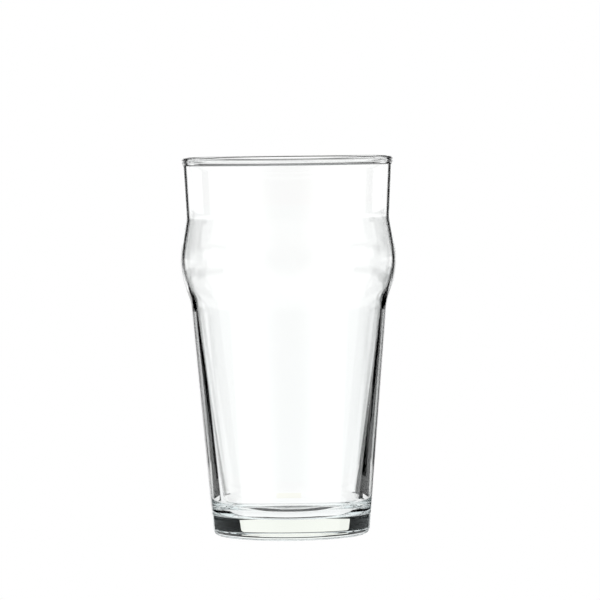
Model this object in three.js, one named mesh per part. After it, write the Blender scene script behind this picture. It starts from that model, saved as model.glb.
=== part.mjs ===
// Bulged pint glass: one piece of clear soda-lime glass, turned about the Z axis.
//
// The wall is a straight taper that turns out into the round bulge, draws in again
// at the neck and runs almost upright to a fire-polished bead. A thick base stands
// on a flat foot ring around a shallow hollow in the underside.
//
// Millimetres, +Z up. The origin is the centre of the foot ring, on the surface
// that the glass stands on.

import * as THREE from 'three';

// Driving dimensions
const HEIGHT = 151.5;
const FLOOR_HEIGHT = 8.2;
const UNDERSIDE_RISE = 1.6;
const UNDERSIDE_ROUND = 30;

const FOOT_INNER_RADIUS = 24.5;
const FOOT_INNER_ROUND = 1;
const FOOT_OUTER_RADIUS = 31.3;
const HEEL_ROUND = 2.6;

// The wall's bends: the outline runs straight from corner to corner, and each
// corner is rounded by an arc. Radii are the outside of the glass.
const SHOULDER = { radius: 39.25, height: 93.8, round: 25 };
const BULGE = { radius: 44.3, height: 107, round: 34 };
const NECK = { radius: 40.9, height: 126.9, round: 12.6 };

// The inside: a floor, and walls that thin out towards the mouth. Thickness is
// measured across the axis.
const FLOOR_RADIUS = 26.6;
const FLOOR_ROUND = 8;
const SHOULDER_WALL = 1.8;
const UPPER_WALL = 1.3;

// The bead around the mouth
const BEAD_HEIGHT = 2.5;
const BEAD_RADIUS = 42.4;
const BEAD_WIDTH = 2.6;
const BEAD_ROUND = 1.25;
const BEAD_STEP = 0.4;
const BEAD_FOOT_ROUND = 0.6;

// How finely the curves are divided
const SEGMENTS = 72;
const CHORD_TOLERANCE = 0.05;

/** A corner of the outline, rounded by an arc of the given radius. */
function corner(radius, height, round = 0) {
  return { at: new THREE.Vector2(radius, height), round };
}

/** The points of the arc that rounds one corner between its two neighbours. */
function roundedCorner(before, { at, round }, after) {
  if (round === 0) return [at];
  const back = before.at.clone().sub(at).normalize();
  const ahead = after.at.clone().sub(at).normalize();
  const half = Math.acos(back.dot(ahead)) / 2;
  const middle = back.clone().add(ahead).setLength(round / Math.sin(half)).add(at);
  const start = back.multiplyScalar(round / Math.tan(half)).add(at).sub(middle);
  const end = ahead.multiplyScalar(round / Math.tan(half)).add(at).sub(middle);
  const turn = Math.sign(start.cross(end)) * (Math.PI - 2 * half);
  const widestStep = 2 * Math.acos(1 - CHORD_TOLERANCE / round);
  const steps = Math.ceil(Math.abs(turn) / widestStep);
  const centre = new THREE.Vector2();
  const points = [];
  for (let i = 0; i <= steps; i += 1) {
    points.push(start.clone().rotateAround(centre, (turn * i) / steps).add(middle));
  }
  return points;
}

/** An outline whose first and last corners are sharp and the others rounded. */
function roundedOutline(corners) {
  const inner = corners.slice(1, -1);
  const rounded = inner.flatMap((each, i) => roundedCorner(corners[i], each, corners[i + 2]));
  return [corners[0].at, ...rounded, corners.at(-1).at];
}

/** A corner of the inner wall: the outer bend, moved in by the wall's thickness. */
function innerBend({ radius, height, round }, wall, sign) {
  return corner(radius - wall, height, round + sign * wall);
}

// Where the underside of the bead meets the wall
const BEAD_BOTTOM = HEIGHT - BEAD_HEIGHT;
const RIM_WALL_RADIUS = BEAD_RADIUS - BEAD_STEP;

function glassOutline() {
  const underside = [
    corner(0, UNDERSIDE_RISE),
    corner(FOOT_INNER_RADIUS / 2, UNDERSIDE_RISE, UNDERSIDE_ROUND),
    corner(FOOT_INNER_RADIUS, 0, FOOT_INNER_ROUND),
  ];
  const outside = [
    corner(FOOT_OUTER_RADIUS, 0, HEEL_ROUND),
    corner(SHOULDER.radius, SHOULDER.height, SHOULDER.round),
    corner(BULGE.radius, BULGE.height, BULGE.round),
    corner(NECK.radius, NECK.height, NECK.round),
    corner(RIM_WALL_RADIUS, BEAD_BOTTOM - BEAD_STEP, BEAD_FOOT_ROUND),
  ];
  const bead = [
    corner(BEAD_RADIUS, BEAD_BOTTOM + BEAD_STEP, BEAD_STEP),
    corner(BEAD_RADIUS, HEIGHT, BEAD_ROUND),
    corner(BEAD_RADIUS - BEAD_WIDTH, HEIGHT, BEAD_ROUND),
    corner(BEAD_RADIUS - BEAD_WIDTH, BEAD_BOTTOM + BEAD_STEP, BEAD_STEP),
  ];
  const inside = [
    corner(RIM_WALL_RADIUS - UPPER_WALL, BEAD_BOTTOM - BEAD_STEP, BEAD_FOOT_ROUND),
    innerBend(NECK, UPPER_WALL, 1),
    innerBend(BULGE, UPPER_WALL, -1),
    innerBend(SHOULDER, SHOULDER_WALL, 1),
    corner(FLOOR_RADIUS, FLOOR_HEIGHT, FLOOR_ROUND),
    corner(0, FLOOR_HEIGHT),
  ];
  return roundedOutline([...underside, ...outside, ...bead, ...inside]);
}

const clearGlass = new THREE.MeshStandardMaterial({
  color: 0xe8f0ec,
  roughness: 0.05,
  metalness: 0,
  transparent: true,
  opacity: 0.35,
});

const glassGeometry = new THREE.LatheGeometry(glassOutline(), SEGMENTS);
glassGeometry.rotateX(Math.PI / 2);

const glassBody = new THREE.Mesh(glassGeometry, clearGlass);
glassBody.name = 'glass_body';

const pintGlass = new THREE.Group();
pintGlass.add(glassBody);

export default pintGlass;
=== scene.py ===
import math

import bpy
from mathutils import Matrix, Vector


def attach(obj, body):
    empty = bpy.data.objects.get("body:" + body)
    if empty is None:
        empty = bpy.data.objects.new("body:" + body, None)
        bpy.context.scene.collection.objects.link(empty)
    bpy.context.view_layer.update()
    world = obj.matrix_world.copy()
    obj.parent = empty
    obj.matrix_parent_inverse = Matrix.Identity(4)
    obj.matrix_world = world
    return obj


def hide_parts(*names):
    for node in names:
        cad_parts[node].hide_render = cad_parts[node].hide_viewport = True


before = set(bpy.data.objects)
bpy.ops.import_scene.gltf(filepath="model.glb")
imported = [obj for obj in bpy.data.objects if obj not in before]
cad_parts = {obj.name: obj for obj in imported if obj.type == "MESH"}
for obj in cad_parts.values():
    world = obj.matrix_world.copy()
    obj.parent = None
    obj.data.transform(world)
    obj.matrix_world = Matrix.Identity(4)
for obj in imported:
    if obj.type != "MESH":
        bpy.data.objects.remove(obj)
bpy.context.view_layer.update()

# Driving dimensions of the glass, in millimetres. They are the CAD part's, except that the
# bulge is 0.06 mm smaller, so that this finer mesh stays inside the CAD part's box. Each
# bend is (radius, height, round): the outside runs straight from bend to bend, and an arc
# of that radius rounds each one.
MM = 0.001
HEIGHT = 151.5
FLOOR_HEIGHT = 8.2
UNDERSIDE_RISE = 1.6
UNDERSIDE_ROUND = 30.0
FOOT_INNER_RADIUS = 24.5
FOOT_INNER_ROUND = 1.0
FOOT_OUTER_RADIUS = 31.3
HEEL_ROUND = 2.6
SHOULDER = (39.25, 93.8, 25.0)
BULGE = (44.24, 107.0, 34.0)
NECK = (40.9, 126.9, 12.6)

# The inside: a floor, and walls that thin out towards the mouth. Thickness is measured
# across the axis.
FLOOR_RADIUS = 26.6
FLOOR_ROUND = 8.0
SHOULDER_WALL = 1.8
UPPER_WALL = 1.3

# The bead around the mouth
BEAD_HEIGHT = 2.5
BEAD_RADIUS = 42.4
BEAD_WIDTH = 2.6
BEAD_ROUND = 1.25
BEAD_STEP = 0.4
BEAD_FOOT_ROUND = 0.6

# How finely the surface is divided. A straight run is cut into pieces no longer than
# LONGEST_STRAIGHT, with a cut EDGE_LOOP from each of its ends.
SEGMENTS = 256
ARC_STEP = math.radians(3.0)
LONGEST_STRAIGHT = 5.0
EDGE_LOOP = 0.3

# The glass, and the blue-green that light takes on over its way through it
GLASS_IOR = 1.52
ABSORPTION_COLOUR = (0.6, 0.85, 0.88, 1.0)
ABSORPTION_DENSITY = 3.0
WARMEST_TONE = (1.0, 1.0, 0.995, 1.0)
COOLEST_TONE = (0.985, 1.0, 1.0, 1.0)

# Its finish, in millimetres where it is a length
SCUFF_HEIGHT = 0.4
SCUFF_ROUGHNESS = 0.25
SMEAR_ROUGHNESS = 0.015
RIPPLE_DEPTH = 0.01

# The noise behind each pattern: (features to the metre, octaves of finer detail)
SCUFF_NOISE = (900.0, 4.0)
SMEAR_NOISE = (45.0, 3.0)
TONE_NOISE = (12.0, 1.0)
RIPPLE_NOISE = (60.0, 1.0)

# The values of the noise between which a pattern comes in
SCUFF_FADE = (0.45, 0.7)
SMEAR_FADE = (0.5, 0.75)

# The camera, in metres: on the -Y side, a little above the rim
CAMERA_DISTANCE = 1.73
CAMERA_HEIGHT = 0.173
CAMERA_AIM = (0.00444, 0.0, 0.09397)
CAMERA_LENS = 259.0
CAMERA_SENSOR = 36.0
CAMERA_ROLL = math.radians(-0.69)

# The light around the glass. The camera itself sees plain white. The glass sees a room that
# is brightest behind the glass and less bright in front of it, with a shade close around
# the camera. The shade fades out between the two values of CAMERA_SHADE, which are the
# Y part of a direction: -1 is straight in front of the glass.
ROOM_BEHIND = 1.07
ROOM_IN_FRONT = 0.84
ROOM_AT_CAMERA = 0.55
CAMERA_SHADE = (-0.97, -0.82)

# Black panels stand in the room, in bands one above another. A band reaches up from the
# height given with it, in degrees above the horizon, to where the next one starts. Its
# panels are (from, to), in degrees clockwise from straight behind the glass.
BANDS = [
    (None, []),
    (-45.0, [(-16, 16)]),
    (-20.0, [(-38, -16), (16, 38)]),
    (-16.5, [(-42, -16), (16, 62)]),
    (-14.5, [(-105, -60), (-42, 105)]),
    (-11.0, [(-105, -24), (-9, 9), (21, 105)]),
    (-9.5, [(-105, -24), (21, 105)]),
    (-8.5, [(-60, -22), (15, 50)]),
    (-5.5, [(-31, -17), (17, 31)]),
    (-1.0, [(-75, -17), (17, 75)]),
    (8.5, [(-66, 66)]),
    (24.0, []),
]

# How far the edges of bands and panels are blurred, in degrees
BAND_BLEND = 1.0
PANEL_BLEND = 2.0

WHITE = (1.0, 1.0, 1.0)
CREAM = (1.04, 1.02, 0.95)
BRIGHT = (1.07, 1.06, 1.06)
SOFT = (0.98, 0.98, 0.98)

# Pale cards close around the glass, which the camera doesn't see. In order: a low one
# behind the thick base, one on each side of the upper wall, one behind the rim, and two
# that lie just under the floor's level, behind the foot. Each bends around the glass
# and goes from one edge to the other: (from, to, edge, edge, colour), with the directions
# in degrees as above, and each edge as (radius, height) in millimetres.
CARDS = [
    (-8.2, 5.5, (50.0, 0.0), (50.0, 6.6), CREAM),
    (-85.0, -60.0, (90.0, 92.0), (90.0, 175.0), SOFT),
    (60.0, 85.0, (90.0, 92.0), (90.0, 175.0), SOFT),
    (-38.0, 38.0, (90.0, 130.0), (90.0, 150.0), BRIGHT),
    (-60.0, 60.0, (32.0, -0.1), (85.0, -0.1), BRIGHT),
    (-32.0, 32.0, (85.0, -0.1), (160.0, -0.1), BRIGHT),
]
CARD_STEPS = 24

# The width of the floor, in metres
FLOOR_SIZE = 40.0

# How often light may turn inside the glass before it is lost
MOST_BOUNCES = 32
MOST_GLOSSY_BOUNCES = 16


def rounded(before, bend, after):
    """The points of the arc that rounds one bend of an outline."""
    radius, height, fillet = bend
    at = Vector((radius, height))
    back = (Vector(before[:2]) - at).normalized()
    ahead = (Vector(after[:2]) - at).normalized()
    half = back.angle(ahead) / 2
    centre = at + (back + ahead).normalized() * fillet / math.sin(half)
    start = at + back * fillet / math.tan(half) - centre
    side = 1 if back.x * ahead.y - back.y * ahead.x < 0 else -1
    turn = side * (math.pi - 2 * half)
    steps = max(2, math.ceil(abs(turn) / ARC_STEP))
    points = []
    for i in range(steps + 1):
        angle = turn * i / steps
        c, s = math.cos(angle), math.sin(angle)
        points.append((centre.x + c * start.x - s * start.y, centre.y + s * start.x + c * start.y))
    return points


def outline(bends):
    """Points along straight runs and rounded bends, with long straights divided."""
    points = [bends[0][:2]]
    for before, bend, after in zip(bends, bends[1:], bends[2:]):
        points += rounded(before, bend, after) if bend[2] else [bend[:2]]
    points.append(bends[-1][:2])
    divided = [points[0]]
    for a, b in zip(points, points[1:]):
        length = math.dist(a, b)
        pieces = max(1, math.ceil(length / LONGEST_STRAIGHT))
        shares = [i / pieces for i in range(1, pieces + 1)]
        if pieces > 1:
            shares = [EDGE_LOOP / length, *shares[:-1], 1 - EDGE_LOOP / length, 1.0]
        for share in shares:
            divided.append((a[0] + (b[0] - a[0]) * share, a[1] + (b[1] - a[1]) * share))
    return divided


def inside_of(bend, wall, sign):
    """An outside bend moved in by the wall's thickness."""
    radius, height, fillet = bend
    return (radius - wall, height, fillet + sign * wall)


def glass_outline():
    """The section of the glass, from the middle of the underside to the middle of the floor."""
    bead_bottom = HEIGHT - BEAD_HEIGHT
    rim_wall = BEAD_RADIUS - BEAD_STEP
    bead_inner = BEAD_RADIUS - BEAD_WIDTH
    underside = [
        (0.0, UNDERSIDE_RISE, 0.0),
        (FOOT_INNER_RADIUS / 2, UNDERSIDE_RISE, UNDERSIDE_ROUND),
        (FOOT_INNER_RADIUS, 0.0, FOOT_INNER_ROUND),
    ]
    outside = [
        (FOOT_OUTER_RADIUS, 0.0, HEEL_ROUND),
        SHOULDER,
        BULGE,
        NECK,
        (rim_wall, bead_bottom - BEAD_STEP, BEAD_FOOT_ROUND),
    ]
    bead = [
        (BEAD_RADIUS, bead_bottom + BEAD_STEP, BEAD_STEP),
        (BEAD_RADIUS, HEIGHT, BEAD_ROUND),
        (bead_inner, HEIGHT, BEAD_ROUND),
        (bead_inner, bead_bottom + BEAD_STEP, BEAD_STEP),
    ]
    inside = [
        (rim_wall - UPPER_WALL, bead_bottom - BEAD_STEP, BEAD_FOOT_ROUND),
        inside_of(NECK, UPPER_WALL, 1),
        inside_of(BULGE, UPPER_WALL, -1),
        inside_of(SHOULDER, SHOULDER_WALL, 1),
        (FLOOR_RADIUS, FLOOR_HEIGHT, FLOOR_ROUND),
        (0.0, FLOOR_HEIGHT, 0.0),
    ]
    return outline(underside + outside + bead + inside)


def turned_mesh(name, points):
    """A closed mesh made by turning an outline, which starts and ends on the axis."""
    first, *rings, last = points
    vertices = [(0.0, 0.0, first[1] * MM)]
    for radius, height in rings:
        for i in range(SEGMENTS):
            angle = 2 * math.pi * i / SEGMENTS
            vertices.append((radius * MM * math.cos(angle), radius * MM * math.sin(angle), height * MM))
    vertices.append((0.0, 0.0, last[1] * MM))
    faces = []
    end = len(vertices) - 1
    for i in range(SEGMENTS):
        j = (i + 1) % SEGMENTS
        faces.append((0, 1 + j, 1 + i))
        for ring in range(len(rings) - 1):
            low = 1 + ring * SEGMENTS
            faces.append((low + i, low + j, low + SEGMENTS + j, low + SEGMENTS + i))
        top = 1 + (len(rings) - 1) * SEGMENTS
        faces.append((top + i, top + j, end))
    mesh = bpy.data.meshes.new(name)
    mesh.from_pydata(vertices, [], faces)
    mesh.validate()
    mesh.shade_smooth()
    return mesh


def link_math(tree, operation, *values):
    """A Math node fed by sockets or plain numbers."""
    node = tree.nodes.new("ShaderNodeMath")
    node.operation = operation
    for socket, value in zip(node.inputs, values):
        if isinstance(value, (int, float)):
            socket.default_value = value
        else:
            tree.links.new(value, socket)
    return node.outputs[0]


def mapped(tree, value, low, high, to_low=0.0, to_high=1.0):
    """A value carried from one range to another, and held at its ends."""
    node = tree.nodes.new("ShaderNodeMapRange")
    tree.links.new(value, node.inputs["Value"])
    for name, number in zip(("From Min", "From Max", "To Min", "To Max"), (low, high, to_low, to_high)):
        node.inputs[name].default_value = number
    return node.outputs["Result"]


def noise(tree, place, scale, detail):
    """Smooth noise over the glass, with so many features to the metre."""
    node = tree.nodes.new("ShaderNodeTexNoise")
    node.inputs["Scale"].default_value = scale
    node.inputs["Detail"].default_value = detail
    tree.links.new(place, node.inputs["Vector"])
    return node.outputs["Fac"]


def glass_material():
    """Clear soda-lime glass: a faint blue-green in the thick base, smears, and a scuffed foot."""
    material = bpy.data.materials.new("clear_glass")
    material.use_nodes = True
    tree = material.node_tree
    shader = tree.nodes["Principled BSDF"]
    shader.inputs["IOR"].default_value = GLASS_IOR
    shader.inputs["Transmission Weight"].default_value = 1.0
    place = tree.nodes.new("ShaderNodeTexCoord").outputs["Object"]
    split = tree.nodes.new("ShaderNodeSeparateXYZ")
    tree.links.new(place, split.inputs[0])

    # The foot ring is scuffed by the bar: rougher within SCUFF_HEIGHT of the ground
    low = mapped(tree, split.outputs["Z"], 0.0, SCUFF_HEIGHT * MM, 1.0, 0.0)
    marks = mapped(tree, noise(tree, place, *SCUFF_NOISE), *SCUFF_FADE)
    scuffs = link_math(tree, "MULTIPLY", low, marks)
    smears = mapped(tree, noise(tree, place, *SMEAR_NOISE), *SMEAR_FADE, 0.0, SMEAR_ROUGHNESS)
    roughness = link_math(tree, "MULTIPLY_ADD", scuffs, SCUFF_ROUGHNESS, smears)
    tree.links.new(roughness, shader.inputs["Roughness"])

    # A trace of colour varies through the batch of glass
    tone = tree.nodes.new("ShaderNodeValToRGB")
    tree.links.new(noise(tree, place, *TONE_NOISE), tone.inputs["Fac"])
    tone.color_ramp.elements[0].color = WARMEST_TONE
    tone.color_ramp.elements[1].color = COOLEST_TONE
    tree.links.new(tone.outputs["Color"], shader.inputs["Base Color"])

    # The ripple that a fire-polished surface keeps
    ripple = tree.nodes.new("ShaderNodeBump")
    ripple.inputs["Strength"].default_value = 1.0
    ripple.inputs["Distance"].default_value = RIPPLE_DEPTH * MM
    tree.links.new(noise(tree, place, *RIPPLE_NOISE), ripple.inputs["Height"])
    tree.links.new(ripple.outputs["Normal"], shader.inputs["Normal"])

    tint = tree.nodes.new("ShaderNodeVolumeAbsorption")
    tint.inputs["Color"].default_value = ABSORPTION_COLOUR
    tint.inputs["Density"].default_value = ABSORPTION_DENSITY
    tree.links.new(tint.outputs["Volume"], tree.nodes["Material Output"].inputs["Volume"])
    return material


def add_glass():
    """The whole glass, in place of the CAD part's one body."""
    glass = bpy.data.objects.new("pint_glass", turned_mesh("pint_glass", glass_outline()))
    bpy.context.collection.objects.link(glass)
    glass.data.materials.append(glass_material())
    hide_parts("glass_body")
    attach(glass, "root")


def panel_band(tree, turn, panels):
    """The colour socket of one band: black where its panels are, and white elsewhere."""
    levels = [(-180, 1.0)]
    for start, end in panels:
        levels += [(start - PANEL_BLEND / 2, 1.0), (start + PANEL_BLEND / 2, 0.0)]
        levels += [(end - PANEL_BLEND / 2, 0.0), (end + PANEL_BLEND / 2, 1.0)]
    ramp = tree.nodes.new("ShaderNodeValToRGB")
    tree.links.new(turn, ramp.inputs["Fac"])
    stops = ramp.color_ramp.elements
    stops.remove(stops[1])
    for degrees, level in levels:
        place = degrees / 360 + 0.5
        stop = stops[0] if degrees == -180 else stops.new(place)
        stop.position = place
        stop.color = (level, level, level, 1.0)
    return ramp.outputs["Color"]


def room_colour(tree, direction):
    """The colour socket of the room: the bands of panels, one above another."""
    around = link_math(tree, "ARCTAN2", direction.outputs["X"], direction.outputs["Y"])
    turn = link_math(tree, "MULTIPLY_ADD", around, 0.5 / math.pi, 0.5)
    height = link_math(tree, "ARCSINE", direction.outputs["Z"])
    blur = math.radians(BAND_BLEND / 2)
    colour = panel_band(tree, turn, BANDS[0][1])
    for bottom, panels in BANDS[1:]:
        edge = math.radians(bottom)
        rise = mapped(tree, height, edge - blur, edge + blur)
        blend = tree.nodes.new("ShaderNodeMix")
        blend.data_type = "RGBA"
        tree.links.new(rise, blend.inputs["Factor"])
        tree.links.new(colour, blend.inputs["A"])
        tree.links.new(panel_band(tree, turn, panels), blend.inputs["B"])
        colour = blend.outputs["Result"]
    return colour


def room_brightness(tree, direction):
    """The brightness socket of the room, which falls from behind the glass to the camera."""
    room = mapped(tree, direction.outputs["Y"], -1.0, 1.0, ROOM_IN_FRONT, ROOM_BEHIND)
    shade = mapped(tree, direction.outputs["Y"], *CAMERA_SHADE, ROOM_AT_CAMERA, 1.0)
    return link_math(tree, "MULTIPLY", room, shade)


def studio_light():
    """A world that is the room to the glass, and plain white to the camera."""
    world = bpy.data.worlds.new("studio")
    bpy.context.scene.world = world
    world.use_nodes = True
    tree = world.node_tree
    tree.nodes.clear()
    direction = tree.nodes.new("ShaderNodeSeparateXYZ")
    tree.links.new(tree.nodes.new("ShaderNodeTexCoord").outputs["Generated"], direction.inputs[0])
    light = tree.nodes.new("ShaderNodeBackground")
    tree.links.new(room_colour(tree, direction), light.inputs["Color"])
    tree.links.new(room_brightness(tree, direction), light.inputs["Strength"])
    plain = tree.nodes.new("ShaderNodeBackground")
    plain.inputs["Color"].default_value = (*WHITE, 1.0)
    path = tree.nodes.new("ShaderNodeLightPath")
    mix = tree.nodes.new("ShaderNodeMixShader")
    tree.links.new(path.outputs["Is Camera Ray"], mix.inputs["Fac"])
    tree.links.new(light.outputs[0], mix.inputs[1])
    tree.links.new(plain.outputs[0], mix.inputs[2])
    output = tree.nodes.new("ShaderNodeOutputWorld")
    tree.links.new(mix.outputs[0], output.inputs["Surface"])


def glowing(name, colour):
    """A material that has the same brightness from every side and takes no light."""
    material = bpy.data.materials.new(name)
    material.use_nodes = True
    nodes = material.node_tree.nodes
    nodes.remove(nodes["Principled BSDF"])
    glow = nodes.new("ShaderNodeEmission")
    glow.inputs["Color"].default_value = (*colour, 1.0)
    material.node_tree.links.new(glow.outputs[0], nodes["Material Output"].inputs["Surface"])
    return material


def add_floor():
    """The white sweep that the glass stands on. It isn't seen through the glass or in it."""
    bpy.ops.mesh.primitive_plane_add(size=FLOOR_SIZE)
    floor = bpy.context.object
    floor.name = "floor"
    floor.data.materials.append(glowing("white_sweep", WHITE))
    floor.visible_transmission = False
    floor.visible_glossy = False


def add_card(name, start, end, near_edge, far_edge, colour):
    """A card bent around the glass, between two directions. It is seen only through the glass."""
    vertices = []
    for i in range(CARD_STEPS + 1):
        turn = math.radians(start + (end - start) * i / CARD_STEPS)
        for radius, height in (near_edge, far_edge):
            vertices.append((radius * MM * math.sin(turn), radius * MM * math.cos(turn), height * MM))
    faces = [(2 * i, 2 * i + 1, 2 * i + 3, 2 * i + 2) for i in range(CARD_STEPS)]
    mesh = bpy.data.meshes.new(name)
    mesh.from_pydata(vertices, [], faces)
    mesh.materials.append(glowing(name, colour))
    card = bpy.data.objects.new(name, mesh)
    bpy.context.collection.objects.link(card)
    card.visible_camera = False
    card.visible_diffuse = False
    card.visible_glossy = False
    card.visible_shadow = False


def add_camera():
    """The photograph's viewpoint: far away, a little above the rim, and tilted slightly."""
    data = bpy.data.cameras.new("camera")
    data.lens = CAMERA_LENS
    data.sensor_width = CAMERA_SENSOR
    camera = bpy.data.objects.new("camera", data)
    bpy.context.collection.objects.link(camera)
    camera.location = (0.0, -CAMERA_DISTANCE, CAMERA_HEIGHT)
    aim = Vector(CAMERA_AIM) - camera.location
    camera.rotation_euler = aim.to_track_quat("-Z", "Y").to_euler()
    camera.rotation_euler.rotate_axis("Z", CAMERA_ROLL)
    bpy.context.scene.camera = camera


add_camera()
studio_light()
add_floor()
for i, card in enumerate(CARDS):
    add_card(f"card_{i}", *card)
add_glass()

scene = bpy.context.scene
scene.view_settings.view_transform = "Standard"
scene.cycles.max_bounces = MOST_BOUNCES
scene.cycles.transmission_bounces = MOST_BOUNCES
scene.cycles.glossy_bounces = MOST_GLOSSY_BOUNCES
